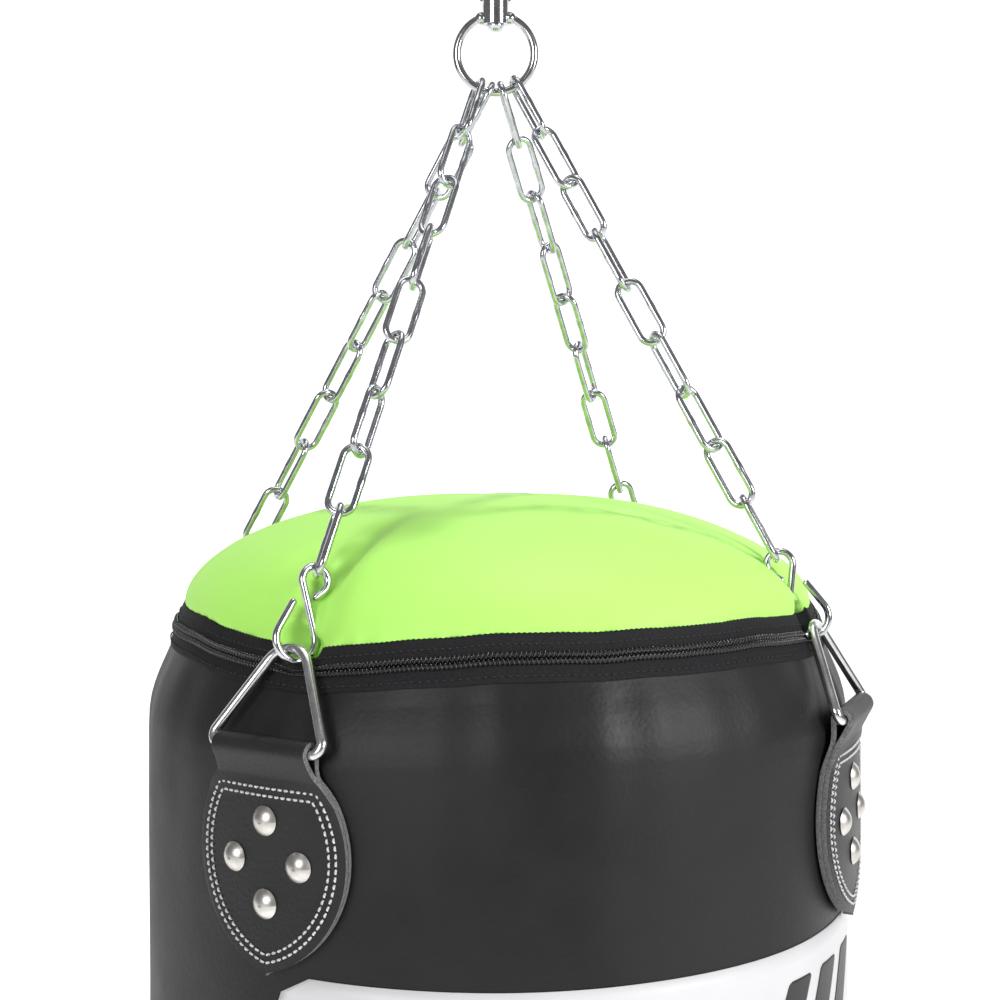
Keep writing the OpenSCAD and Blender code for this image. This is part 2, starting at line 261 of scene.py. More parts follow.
finishes = {
    "zinc": metalFinish("zincWire", (0.5, 0.51, 0.54), (0.72, 0.73, 0.76), (0.12, 0.24), 0.08),
    "ring": metalFinish("platedRing", (0.46, 0.46, 0.47), (0.7, 0.7, 0.71), (0.1, 0.2), 0.06),
    "nickel": metalFinish("nickelWire", (0.66, 0.66, 0.66), (0.8, 0.8, 0.8), (0.16, 0.26), 0.05),
    "rivet": metalFinish("rivetNickel", (0.62, 0.59, 0.55), (0.8, 0.78, 0.74), (0.3, 0.4), 0.06),
    "washer": metalFinish("oiledWasher", (0.03, 0.03, 0.03), (0.08, 0.08, 0.085), (0.35, 0.5), 0.2),
    "enamel": metalFinish("blackEnamel", (0.012, 0.012, 0.014), (0.03, 0.03, 0.032), (0.3, 0.42), 0.2),
    "vinyl": grainFinish("bagVinyl", (0.0075, 0.0075, 0.0078), (0.015, 0.015, 0.0153), 520, (0.36, 0.6), 0.16,
                         specular_ior_level=0.34),
    "leather": grainFinish("tabLeather", (0.012, 0.012, 0.0125), (0.022, 0.022, 0.0225), 700, (0.36, 0.52),
                           0.26, specular_ior_level=0.34),
    "green": grainFinish("greenVinyl", (0.46, 0.93, 0.15), (0.5, 0.96, 0.19), 640, (0.5, 0.66), 0.1,
                         specular_ior_level=0.3),
}


def edgeFinish():
    # the cut edge of leather: pale fibres in layers
    made = Finish("leatherEdge")
    fibres = made.noise(900, 4, 0.7)
    colour = made.mix(made.spread(fibres, 0, 1), (0.07, 0.07, 0.07), (0.24, 0.24, 0.24))
    return made.use(base_color=colour, roughness=0.85, normal=made.bump(fibres, 0.5, 0.0004))


def wovenFinish(name, dark, light, pitch, rough=0.8):
    # fine ribs both ways, from waves across Object coordinates
    made = Finish(name, specular_ior_level=0.25)
    ribs = made.node("TexWave", {"wave_type": "BANDS", "bands_direction": "Z"},
                     {"Vector": made.place, "Scale": 314 / pitch, "Distortion": 0.6, "Detail": 1.0}, 1)
    fuzz = made.noise(1500, 3, 0.7)
    colour = made.mix(made.spread(fuzz, 0, 1), dark, light)
    height = ribs * 0.7 + fuzz * 0.5
    return made.use(base_color=colour, roughness=rough, normal=made.bump(height, 0.3, 0.0003))


def threadFinish(name, dark, light):
    # twisted thread: slanted waves
    made = Finish(name, specular_ior_level=0.3)
    twist = made.node("TexWave", {"wave_type": "BANDS", "bands_direction": "DIAGONAL"},
                      {"Vector": made.place, "Scale": 420.0, "Distortion": 1.0}, 1)
    colour = made.mix(twist, dark, light)
    return made.use(base_color=colour, roughness=0.7, normal=made.bump(twist, 0.5, 0.0002))


def nylonFinish():
    made = Finish("coilNylon", specular_ior_level=0.5)
    cloud = made.noise(700, 2)
    colour = made.mix(cloud, (0.012, 0.012, 0.013), (0.024, 0.024, 0.026))
    worn = made.spread(cloud, 0.2, 0.32)
    return made.use(base_color=colour, roughness=worn, normal=made.bump(cloud, 0.15, 0.0001))


def printFinish(name, dark, light):
    # a printed panel: smooth film with the vinyl's grain just showing
    made = Finish(name, specular_ior_level=0.4)
    patches = made.noise(14, 3)
    colour = made.mix(made.spread(patches, 0, 1), dark, light)
    grain = made.cells(520, "SMOOTH_F1")
    worn = made.spread(patches, 0.38, 0.5)
    return made.use(base_color=colour, roughness=worn, normal=made.bump(grain, 0.1, 0.0004))


finishes["edge"] = edgeFinish()
finishes["tape"] = wovenFinish("zipTapeWeave", (0.006, 0.006, 0.007), (0.02, 0.02, 0.022), 0.7)
finishes["filling"] = wovenFinish("pressedTextile", (0.3, 0.27, 0.22), (0.6, 0.55, 0.47), 3.0, 0.95)
finishes["whiteThread"] = threadFinish("whiteThread", (0.5, 0.5, 0.5), (0.85, 0.85, 0.84))
finishes["blackThread"] = threadFinish("blackThread", (0.012, 0.012, 0.013), (0.04, 0.04, 0.042))
finishes["nylon"] = nylonFinish()
finishes["panel"] = printFinish("panelPrint", (0.66, 0.66, 0.67), (0.74, 0.74, 0.75))
finishes["bars"] = printFinish("panelBars", (0.02, 0.02, 0.022), (0.035, 0.035, 0.037))
print("finishes made:", len(finishes))


for node, finish in (("swivel_eye", "ring"), ("swivel_pin", "zinc"), ("thrust_washer", "washer"),
                     ("rivets", "rivet"), ("zip_slider", "enamel"), ("zip_pull", "enamel"),
                     ("hanging_ring", "ring")):
    for materialSlot in frame["nodes"][node].material_slots:
        materialSlot.material = finishes[finish]

chain = {
    "wire": 3.2, "inside": 29.0, "width": 14.6, "links": 9, "hookInside": 38.0, "ringWire": 4.0, "play": 0.6,
    "ringAt": [-28, 32, 10, -11], "firstTurn": [15, 15, 5, 5], "linkTurn": [21.5, 19.8, 12.2, -10],
    "hookTurn": [-28, 10, 22, -28], "weld": 0.16, "weldLong": 1.6,
}
hook = {"wire": 3.2, "small": 5.9, "large": 8.9, "shortLeg": 5.0, "freeLeg": 13.5, "openLean": 11}
dring = {"wire": 4.5, "top": 12.0, "corner": 4.0, "width": 60.0, "height": 46.0, "tilt": 24.5}
tabAz = [-32, 68.5, 148, 248.5]

# The D-rings' bars are on their pivots, and each one's inner top is up its tilt from there
barDown = dring["height"] - 1.5 * dring["wire"]
chainTop = [pivot("chain_swing_" + c) for c in corners]
barPivot = [pivot("d_ring_tip_" + c) for c in corners]
barR = float(np.linalg.norm(barPivot[0][:2]))
barZ = float(barPivot[0][2])
apexR = barR - barDown * math.sin(math.radians(dring["tilt"]))
apexZ = barZ + barDown * math.cos(math.radians(dring["tilt"]))


def chainRun(k):
    run = around(apexR, tabAz[k], apexZ - chain["play"]) - chainTop[k]
    return run, np.linalg.norm(run)


def slack(k):
    run, length = chainRun(k)
    whole = chain["links"] * chain["inside"] + chain["hookInside"]
    return (whole - length - chain["ringWire"] / 2) / (chain["links"] + 2)


def linkDown(k, i):
    return -chain["ringWire"] / 2 - slack(k) + i * (chain["inside"] - slack(k))


def lineAngles(k):
    run, length = chainRun(k)
    return math.degrees(math.atan2(run[0], -run[1])), math.degrees(math.acos(-run[2] / length))


def onLine(points, k, down, roll):
    # a piece that hangs from its origin along -Z is turned on its line, and put that far down it
    az, lean = lineAngles(k)
    placed = turned(points, "z", roll) - np.array([0, 0, down])
    return turned(turned(placed, "x", -lean), "z", az) + chainTop[k]


def linkRoll(k, i):
    # a first link is square on the ring when its width lies across the wire and the line
    az, lean = (math.radians(x) for x in lineAngles(k))
    run, length = chainRun(k)
    ringAngle = math.radians(chain["ringAt"][k])
    width = np.cross(run / length, [math.cos(ringAngle), 0, math.sin(ringAngle)])
    alongX = np.array([math.cos(az), math.sin(az), 0])
    alongY = np.array([-math.sin(az) * math.cos(lean), math.cos(az) * math.cos(lean), -math.sin(lean)])
    square = math.degrees(math.atan2(width @ alongY, width @ alongX))
    return square + chain["firstTurn"][k] + i * (90 + chain["linkTurn"][k])


def linkSurface():
    # a stadium of wire, swollen at the weld: r (1 + weld exp(-(distance from the weld / long)^2))
    bend = (chain["width"] - chain["wire"]) / 2
    low = -chain["inside"] + bend - chain["wire"] / 2
    high = -bend + chain["wire"] / 2
    bar = np.linspace(low, high, 12)[1:-1]
    right = np.stack([bend + 0 * bar, 0 * bar, bar], -1)
    left = np.stack([-bend + 0 * bar, 0 * bar, bar[::-1]], -1)
    path = np.vstack([right, arc(0, high, bend, 0, 180, 11), left, arc(0, low, bend, 180, 360, 11)])
    weld = np.linalg.norm(path - np.array([bend, 0, (low + high) / 2]), axis=1)
    fine = chain["wire"] / 2 * (1 + chain["weld"] * np.exp(-((weld / chain["weldLong"]) ** 2)))
    return wire(path, fine, True)


def hookSurface():
    # two loops of wire joined by their inner tangent, the upper one closed and the lower one open
    small, large = hook["small"], hook["large"]
    smallZ = hook["wire"] / 2 - small
    largeZ = large - hook["wire"] / 2 - chain["hookInside"]
    lean = math.degrees(math.asin((small + large) / (smallZ - largeZ)))
    rad = math.radians(lean)
    end = math.radians(hook["openLean"])
    start = np.array([-small * math.cos(rad), 0, smallZ - small * math.sin(rad)])
    shortTip = start + hook["shortLeg"] * np.array([math.sin(rad), 0, -math.cos(rad)])
    lowEnd = np.array([large * math.cos(end), 0, largeZ + large * math.sin(end)])
    freeTip = lowEnd + hook["freeLeg"] * np.array([-math.sin(end), 0, math.cos(end)])
    top = arc(0, smallZ, small, 180 + lean, -lean)
    bottom = arc(0, largeZ, large, 180 - lean, 360 + hook["openLean"])
    steps = np.linspace(0, 1, 8)[1:-1, None]
    shortLeg = shortTip + (start - shortTip) * np.linspace(0, 1, 5)[:-1, None]
    diagonal = top[-1] + (bottom[0] - top[-1]) * steps
    freeLeg = lowEnd + (freeTip - lowEnd) * np.linspace(0, 1, 8)[1:, None]
    return wire(np.vstack([shortLeg, top, diagonal, bottom, freeLeg]), hook["wire"] / 2, False)


def dringSurface():
    # a rounded top, two straight legs and a straight bar with rounded corners
    top, corner = dring["top"], dring["corner"]
    half = (dring["width"] - dring["wire"]) / 2
    topZ = dring["wire"] / 2 - top
    sideX, sideZ = half - corner, corner - barDown
    reach = math.hypot(sideX, topZ - sideZ)
    leg = math.degrees(math.acos((top - corner) / reach) - math.atan2(topZ - sideZ, sideX))
    apex = arc(0, topZ, top, leg, 180 - leg, 6)
    leftCorner = arc(-sideX, sideZ, corner, 180 - leg, 270, 10)
    rightCorner = arc(sideX, sideZ, corner, -90, leg, 10)

    def between(a, b, count):
        return a + (b - a) * np.linspace(0, 1, count)[1:-1, None]
    path = np.vstack([apex, between(apex[-1], leftCorner[0], 10), leftCorner,
                      between(leftCorner[-1], rightCorner[0], 12), rightCorner,
                      between(rightCorner[-1], apex[0], 10)])
    return wire(path, dring["wire"] / 2, True, 18)


linkPoints, hookPoints, dringPoints = linkSurface(), hookSurface(), dringSurface()
for k, c in enumerate(corners):
    for i in range(chain["links"]):
        name = f"{c}_link_{i + 1}"
        placed = onLine(linkPoints, k, linkDown(k, i), linkRoll(k, i))
        piece = buildPiece("chainLink_" + name, placed, True, True, inside=placed.mean((0, 1)))
        settle(piece, "chain_" + c, finishes["zinc"], [name])
    placed = onLine(hookPoints, k, linkDown(k, chain["links"]), chain["hookTurn"][k] - 90)
    piece = buildPiece("sHook_" + c, placed, False, True, (0, 1), inside=placed.mean((0, 1)))
    settle(piece, "s_hook_" + c, finishes["zinc"], ["s_hook_" + c])
    placed = turned(turned(dringPoints, "x", -dring["tilt"]), "z", tabAz[k]) + around(apexR, tabAz[k], apexZ)
    piece = buildPiece("dRing_" + c, placed, True, True, inside=placed.mean((0, 1)))
    settle(piece, "d_ring_" + c, finishes["nickel"], ["d_ring_" + c])
print("chains, hooks and D-rings made")


coverLow, coverHigh = lowHigh("top_cover")
shellLow, shellHigh = lowHigh("bag_shell")
bag = {"radius": float(shellHigh[0]), "rimR": float(coverHigh[0]), "rimZ": float(coverLow[2]) - 0.3,
       "topZ": float(coverHigh[2]), "wallTop": float(shellHigh[2]), "footZ": float(shellLow[2]),
       "steps": 720}
soft = {
    "dip": [6.0, 1.5, 2.5, 3.0], "dipWide": [24.0, 14.0, 20.0, 20.0],  # how far each hook pulls the rim down
    "press": 11.6, "pressSharp": 6,  # room round a hook's lower loop
    "ripple": 0.7, "wave": 0.9,
}
loopUp = hook["large"] - hook["wire"] / 2
hookCentre = [onLine(np.zeros((1, 3)), k, linkDown(k, chain["links"]) + chain["hookInside"] - loopUp, 0)[0]
              for k in range(4)]


def azimuth(points):
    return np.degrees(np.arctan2(points[..., 0], -points[..., 1]))


def azGap(az, other):
    return (az - other + 180) % 360 - 180


def softShape(points):
    # The rim dips at each hook by dip exp(-(angle / wide)^2), fading up the dome and down the wall.
    # Small waves run round the rim. Then everything within reach of a hook's lower loop is pushed
    # away from its centre, from distance d to (d^n + press^n)^(1/n).
    points = np.array(points, float)
    az = azimuth(points)
    above = np.maximum(0, points[..., 2] - bag["rimZ"])
    below = np.maximum(0, bag["rimZ"] - points[..., 2])
    fade = np.exp(-((above / 20) ** 2)) * np.exp(-((below / 60) ** 2))
    for k in range(4):
        points[..., 2] -= soft["dip"][k] * np.exp(-((azGap(az, tabAz[k]) / soft["dipWide"][k]) ** 2)) * fade
    a = np.radians(az)
    points[..., 2] += fade * (soft["wave"] * np.sin(3 * a + 0.8) + 0.5 * np.sin(7 * a + 2.1)
                              + 0.22 * np.sin(17 * a + 0.4) + 0.12 * np.sin(31 * a + 1.7))
    for centre in hookCentre:
        away = points - centre
        distance = np.maximum(np.linalg.norm(away, axis=-1), 0.5)
        n = soft["pressSharp"]
        grown = (distance ** n + soft["press"] ** n) ** (1 / n)
        points = centre + away * (grown / distance)[..., None]
    return points


def wrinkle(az, z):
    # shallow creases below the rim, from sines that fade down the wall
    a = np.radians(az)
    deep = np.exp(-((bag["wallTop"] - z) / 55).clip(0) ** 1.3)
    broad = (0.55 * np.sin(5 * a + 0.6 + z * 0.006) + 0.4 * np.sin(9 * a + 2.0 - z * 0.011)
             + 0.3 * np.sin(z * 0.021 + 2 * a) + 0.22 * np.sin(z * 0.043 - 4 * a + 1.0))
    near = np.sin(23 * a + 3 * np.sin(4 * a)) * 0.35 + np.sin(41 * a + 1.0 + 2 * np.sin(3 * a)) * 0.2
    return -0.75 + 0.55 * broad + deep * near * soft["ripple"] * 1.6


az = np.linspace(0, 360, bag["steps"], endpoint=False)

# Dome: a quarter of an ellipse, R cos t out and H sin t up, with its top softly flattened
dome = {"rows": 90, "thick": 2.6, "gather": 1.1, "lumps": [0.9, 0.7], "flat": 0.6}
t = np.linspace(0, 1, dome["rows"])[:, None] ** 0.8 * (np.pi / 2 - 0.0005)
height = bag["topZ"] - bag["rimZ"]
domeR = bag["rimR"] * np.cos(t) + 0 * az
domeZ = bag["rimZ"] + height * np.sin(t) + 0 * az
a = np.radians(az)
gathers = (np.sin(37 * a + 2 * np.sin(5 * a)) + 0.6 * np.sin(61 * a + 1.3)) * np.exp(-((t / 0.16) ** 2))
broad, small = dome["lumps"]
lumps = broad * np.sin(3 * a + 0.7) * np.sin(2 * t) + small * np.sin(5 * a + 2.2 + 2 * t) * np.sin(2 * t)
domeZ = domeZ + 0.35 * dome["gather"] * gathers + lumps - dome["flat"] * np.sin(t)
domeR = domeR - 0.45 * dome["gather"] * np.abs(gathers) * np.exp(-((t / 0.1) ** 2))
cover = softShape(around(domeR, az, domeZ))
# a crease runs up the cover from each hook: depth exp(-(across / width)^2) along its own slanted line
creases = [  # where round the rim, slant, depth, width and reach up the dome
    (-29.5, -8, 7.0, 9.0, 48),
    (-44, 12, 2.5, 12.0, 40),
    (70, -8, 3.5, 8.0, 34),
    (146, 14, 4.5, 9.0, 38),
    (250, -12, 4.5, 9.0, 38),
]
for slantAz, slope, deep, wide, long in creases:
    rise = (cover[..., 2] - bag["rimZ"] + 6).clip(0)
    inward = bag["rimR"] - np.hypot(cover[..., 0], cover[..., 1])
    across = azGap(azimuth(cover), slantAz) * math.radians(1) * bag["rimR"] - slope * inward / 60
    fade = np.exp(-((inward / long) ** 2)) * (1 - np.exp(-rise / 4))
    cover[..., 2] -= deep * np.exp(-((across / wide) ** 2)) * fade
piece = buildPiece("topCover", cover, False, True, (1,), inside=(0, 0, bag["rimZ"] - 40))
solidify(piece, dome["thick"])
settle(piece, "bag", finishes["green"], ["top_cover"])
print("domed cover made")

# Zip band: it slopes out from the rim to the wall. along runs down it and up stands off it
band = {"long": math.hypot(5.8, 16), "lean": math.atan2(5.8, 16),
        "coilD": 2.1, "coilApart": 1.35, "flat": 0.6,
        "pitch": 1.9, "teeth": 420, "serrated": 0.35, "tape": 1.1,
        "seamDown": 2.9, "seamCount": 330, "hemUp": 1.5, "hemCount": 300, "stitchWide": 0.62}
band["coilAt"] = band["long"] / 2


def onBand(along, up, azimuths):
    lean = band["lean"]
    r = bag["rimR"] + along * math.sin(lean) + up * math.cos(lean)
    z = bag["rimZ"] - along * math.cos(lean) + up * math.sin(lean)
    return around(r, azimuths, z)


def tapePiece(name, start, end, up, serratedTop, replaced):
    # a strip from start to end down the band, bowed outwards, and cut to a zigzag along its top
    fineAz = np.linspace(0, 360, 4 * band["teeth"], endpoint=False)
    v = np.linspace(0, 1, 9)[:, None]
    teeth = np.abs((fineAz / 360 * band["teeth"]) % 1 - 0.5) * 2
    cut = serratedTop * band["serrated"] * teeth * (1 - v) ** 3
    along = start + (end - start) * v - cut
    bow = up + 0.35 * np.sin(np.pi * v) + 0 * fineAz
    points = softShape(onBand(along, bow, fineAz))
    piece = buildPiece(name, points, False, True, (), inside=(0, 0, bag["rimZ"] - 30))
    solidify(piece, band["tape"])
    return settle(piece, "bag", finishes["tape"], replaced)


tapePiece("zipTapeUpper", -1.6, band["coilAt"] - 0.5, 0.5, 1, ["zip_tape"])
tapePiece("zipTapeLower", band["coilAt"] + 0.5, band["long"] + 1.0, 0.25, 0, [])
for side in (-1, 1):
    # a coil row: a tube round the band, r (1 + 0.3 sin(2 pi s / pitch)), pressed flat under each D-ring
    turns = int(2 * math.pi * (bag["rimR"] + 5) / band["pitch"])
    coilAz = np.linspace(0, 360, turns * 6, endpoint=False)
    ridge = 1 + 0.3 * np.sin(2 * np.pi * np.arange(turns * 6) / 6 + (0 if side < 0 else math.pi))
    pressed = sum(np.exp(-((azGap(coilAz, other) / 5) ** 4)) for other in tabAz)
    section = np.linspace(0, 2 * np.pi, 9, endpoint=False)[:, None]
    r = band["coilD"] / 2 * ridge * (1 - band["flat"] * pressed)
    # the ridges lean towards the other row, as a coil's turns do
    shiftAz = 0.2 * side * np.cos(section)
    points = onBand(band["coilAt"] + side * band["coilApart"] + 1.1 * r * np.cos(section),
                    0.45 + r * (0.9 + np.sin(section)) * 0.8, coilAz + shiftAz)
    piece = buildPiece("zipCoilUpper" if side < 0 else "zipCoilLower", softShape(points), True, True,
                       inside=(0, 0, bag["rimZ"]))
    settle(piece, "bag", finishes["nylon"], ["zip_coil"] if side < 0 else [])
print("zip band made")


def stitchMesh(name, starts, ends, normals, width, finish, body):
    # Each stitch is a bent capsule from start to end: width (1 - x^4)^(1/2) round, raised in its middle
    along = np.array([-1.0, -0.86, -0.5, 0.0, 0.5, 0.86, 1.0])
    sizes = np.array([0.35, 0.72, 0.95, 1.0, 0.95, 0.72, 0.35]) * width / 2
    lift = 0.5 * width * (1 - along ** 2) - 0.2 * width
    t = np.linspace(0, 2 * np.pi, 6, endpoint=False)
    starts, ends, normals = (np.asarray(x, float) for x in (starts, ends, normals))
    middle, half = (starts + ends) / 2, (ends - starts) / 2
    heading = half / np.linalg.norm(half, axis=1)[:, None]
    side = np.cross(heading, normals)
    spine = middle[:, None] + half[:, None] * along[None, :, None] + normals[:, None] * lift[None, :, None]
    turn = t[None, None, :, None]
    ring = side[:, None, None] * np.cos(turn) + normals[:, None, None] * np.sin(turn)
    points = spine[:, :, None] + ring * sizes[None, :, None, None]
    count, rows, cols = points.shape[:3]
    i, j = np.arange(rows - 1)[:, None], np.arange(cols)[None, :]
    nextJ = (j + 1) % cols
    quad = np.stack([i * cols + j, (i + 1) * cols + j, (i + 1) * cols + nextJ, i * cols + nextJ], -1)
    offset = np.arange(count)[:, None, None] * rows * cols
    faces = (quad.reshape(1, -1, 4) + offset).reshape(-1, 4).tolist()
    firstRing, lastRing = np.arange(cols)[::-1], (rows - 1) * cols + np.arange(cols)
    ends = np.concatenate([firstRing[None] + offset[:, 0], lastRing[None] + offset[:, 0]])
    piece = meshPiece(name, points.reshape(-1, 3), faces + ends.tolist())
    # the rings turn from side to normal, so a quad's own order faces inwards
    piece.data.flip_normals()
    return settle(piece, body, finish)


def bandStitches(name, along, up, count, finish):
    start = np.linspace(0, 360, count, endpoint=False)
    span = 360 / count * 0.62
    normal = onBand(0, 1.0, start) - onBand(0, 0.0, start)
    return stitchMesh(name, softShape(onBand(along, up, start)), softShape(onBand(along, up, start + span)),
                      normal, band["stitchWide"], finish, "bag")


bandStitches("tapeStitches", band["seamDown"], 1.05, band["seamCount"], finishes["blackThread"])
bandStitches("hemStitches", band["long"] - band["hemUp"], 0.95, band["hemCount"], finishes["blackThread"])

# Bag wall: the shoulder's points joined by a smooth curve, then straight down, then round the foot
wall = {"shoulder": [(-11.8, 1.6), (-11.2, -0.5), (-9.2, -4.5), (-7, -9), (-5, -13.5), (-2.9, -19),
                     (-1.2, -25), (-0.3, -31), (0, -40)],
        "bendTop": 1.6, "bendDeep": 42.0, "bendRows": 46, "foot": 12.0, "thick": 2.6, "rows": 150}
knots = np.array(wall["shoulder"])
low = bag["footZ"] - bag["wallTop"]
depth = np.concatenate([np.linspace(wall["bendTop"], -wall["bendDeep"], wall["bendRows"]),
                        np.linspace(-wall["bendDeep"], low + wall["foot"], wall["rows"])[1:]])
wallR = bag["radius"] + np.interp(-depth, -knots[:, 1], knots[:, 0])
smooth = np.convolve(np.pad(wallR, 2, "edge"), [0.1, 0.2, 0.4, 0.2, 0.1], "valid")
wallR = np.where(np.arange(len(depth)) < 2, wallR, smooth)[:, None]
wallZ = (bag["wallTop"] + depth)[:, None]
fadeFoot = np.clip((wallZ - bag["footZ"] - wall["foot"]) / 60, 0, 1)
radial = wallR + wrinkle(az, wallZ) * fadeFoot * np.clip((bag["wallTop"] + 4 - wallZ) / 12, 0.1, 1)
turn = np.radians(np.linspace(0, 90, 9))[1:, None]
footR = bag["radius"] - wall["foot"] * (1 - np.cos(turn)) + 0 * az
footZ = bag["footZ"] + wall["foot"] * (1 - np.sin(turn)) + 0 * az
points = np.concatenate([softShape(around(radial, az, wallZ + 0 * az)), around(footR, az, footZ)])
piece = buildPiece("bagWall", points, False, True, (), inside=(0, 0, -900))
solidify(piece, wall["thick"])
settle(piece, "bag", finishes["vinyl"], ["bag_shell"])

# Foot: a disc with a shallow wave, inside a welted seam
foot = {"welt": 2.2, "proud": 0.6, "wave": 0.5}
discR = np.linspace(bag["radius"] - wall["foot"] + 1.0, 0.8, 40)[:, None] + 0 * az
wave = foot["wave"] * np.sin(np.radians(az) * 2 + discR * 0.03) * (discR / 160) * (1 - discR / 153)
discZ = bag["footZ"] + foot["proud"] + wave
piece = buildPiece("bagFoot", around(discR, az, discZ), False, True, (1,), inside=(0, 0, -900))
solidify(piece, wall["thick"])
settle(piece, "bag", finishes["vinyl"])
weltT = np.linspace(0, 2 * np.pi, 10, endpoint=False)[:, None]
weltR = bag["radius"] - wall["foot"] + foot["welt"] * np.cos(weltT) + 0 * az
weltZ = bag["footZ"] + foot["welt"] * (1 + np.sin(weltT)) + 0 * az
piece = buildPiece("footWelt", around(weltR, az, weltZ), True, True, inside=(0, 0, -900))
settle(piece, "bag", finishes["leather"])
print("bag wall and foot made")

# Filling: seen only if the cover is opened
fill = {"inset": 5.5, "underCover": 12.0, "drop": 4.0, "foot": 6.0, "footInset": 20.0,
        "sideLow": 8.0, "sideHigh": 30.0}
t = np.linspace(0, 1, 24)[:, None] * (np.pi / 2 - 0.01)
coarse = az[::6]
fillTopR = (bag["rimR"] - fill["underCover"]) * np.cos(t) + 0 * coarse
fillTop = around(fillTopR, coarse, bag["rimZ"] + (height - fill["underCover"]) * np.sin(t) - fill["drop"])
sideZ = np.linspace(bag["footZ"] + fill["sideLow"], bag["wallTop"] - fill["sideHigh"], 30)[:, None]
fillSideR = bag["radius"] - fill["inset"] - 3 * (sideZ < bag["footZ"] + 14) + 0 * coarse
fillSide = around(fillSideR, coarse, sideZ)
fillFootR = np.linspace(1, bag["radius"] - fill["footInset"], 8)[:, None] + 0 * coarse
fillFoot = around(fillFootR, coarse, bag["footZ"] + fill["foot"])
core = np.concatenate([fillFoot, fillSide, fillTop])
piece = buildPiece("fillingCore", core, False, True, (0, 1), inside=(0, 0, -900))
settle(piece, "bag", finishes["filling"], ["filling"])


tab = {"wide": 75.0, "tall": 95.0, "neck": 47.4, "sideR": 48.2, "sideY": -47.0, "layer": 2.3,
       "lift": 0.25, "loopR": 3.75, "shieldTop": -16.0, "overBar": 4.95,
       "insets": [3.9, 7.0], "stitch": 3.0, "stitchLong": 0.72, "stitchWide": 1.1,
       "backSmaller": 0.8, "edgeRound": 0.45}
tabTop = barZ + tab["overBar"]


def tabWidth(down):
    # the shield's width at a depth below the loop's top: two arcs that meet in a point
    reach = tab["sideR"] - tab["wide"] / 2
    y = -down - tab["sideY"]
    shield = 2 * (np.sqrt(np.maximum(tab["sideR"] ** 2 - y ** 2, reach ** 2)) - reach)
    blendIn = 1 / (1 + np.exp(-(down + tab["shieldTop"] + 1.0) / 0.9))
    return np.maximum(shield * blendIn + tab["neck"] * (1 - blendIn), 0.9)


def strapSurface(k):
    # The strap's middle line runs up the front layer from the point, over the D-ring's bar and down
    # the back layer. It wraps round the bag where the layers lie flat, and is straight in its loop.
    backR = bag["radius"] + tab["lift"] + tab["layer"] / 2 + 0.05
    frontR = backR + tab["layer"] + 0.1
    nearPoint, shield = np.linspace(tab["tall"], 82, 14)[:-1], np.linspace(82, 18.5, 44)
    downs = np.concatenate([nearPoint, shield, [17.6, 17.0, 16.4, 15.8, 15.2, 14.5]])
    front = np.stack([frontR + 0 * downs, tabTop - downs], -1)
    angle = np.radians(np.linspace(-34, 196, 26))
    # angle 0 points out of the bag and 90 up; the strap leaves the loop's front low, and its back low
    loop = np.stack([barR + tab["loopR"] * np.cos(angle), barZ + tab["loopR"] * np.sin(angle)], -1)
    backDowns = downs[::-1]
    back = np.stack([backR + 0 * backDowns, tabTop - backDowns], -1)
    line = np.concatenate([front, loop, back])
    # the layers leave the loop in straight runs, softened by averaging along the line
    count = len(downs)
    for _ in range(3):
        soften = line.copy()
        soften[1:-1] = (line[:-2] + 2 * line[1:-1] + line[2:]) / 4
        line[count - 5:count + 3] = soften[count - 5:count + 3]
        line[-count - 3:-count + 5] = soften[-count - 3:-count + 5]
    width = np.concatenate([tabWidth(downs), tab["neck"] + 0 * angle, tabWidth(backDowns)])
    width[count + len(angle):] -= tab["backSmaller"]
    flatness = np.clip((tabTop - line[:, 1] - 13) / 12, 0.02, 1)
    flatness[count:count + len(angle)] = 0.02
    u = np.linspace(-1, 1, 33)
    x = width[:, None] / 2 * u[None, :]
    curve = line[:, :1] / flatness[:, None]
    px = curve * np.sin(x / curve)
    py = -line[:, :1] + curve * (1 - np.cos(x / curve))
    pz = line[:, 1:] + 0 * x
    return turned(np.stack([px, py, pz], -1), "z", tabAz[k])


def outlineRow(inset):
    # a closed run round the shield, inset from its edge: the two arcs shrink by the inset
    reach = tab["sideR"] - tab["wide"] / 2
    r = tab["sideR"] - inset
    topDown = -tab["shieldTop"] + inset + 0.6
    downs = np.linspace(topDown, -tab["sideY"] + math.sqrt(r ** 2 - reach ** 2), 400)
    half = np.sqrt(np.maximum(r ** 2 - (-downs - tab["sideY"]) ** 2, reach ** 2)) - reach
    right = np.stack([half, downs], -1)
    left = np.stack([-half[::-1], downs[::-1]], -1)
    topX = np.linspace(-half[0], half[0], 120)
    top = np.stack([topX, topDown + 0 * topX], -1)
    return np.concatenate([right, left, top[1:-1]])


def tabPoint(x, down, r, k):
    return turned(around(r, np.degrees(x / r), tabTop - down), "z", tabAz[k])


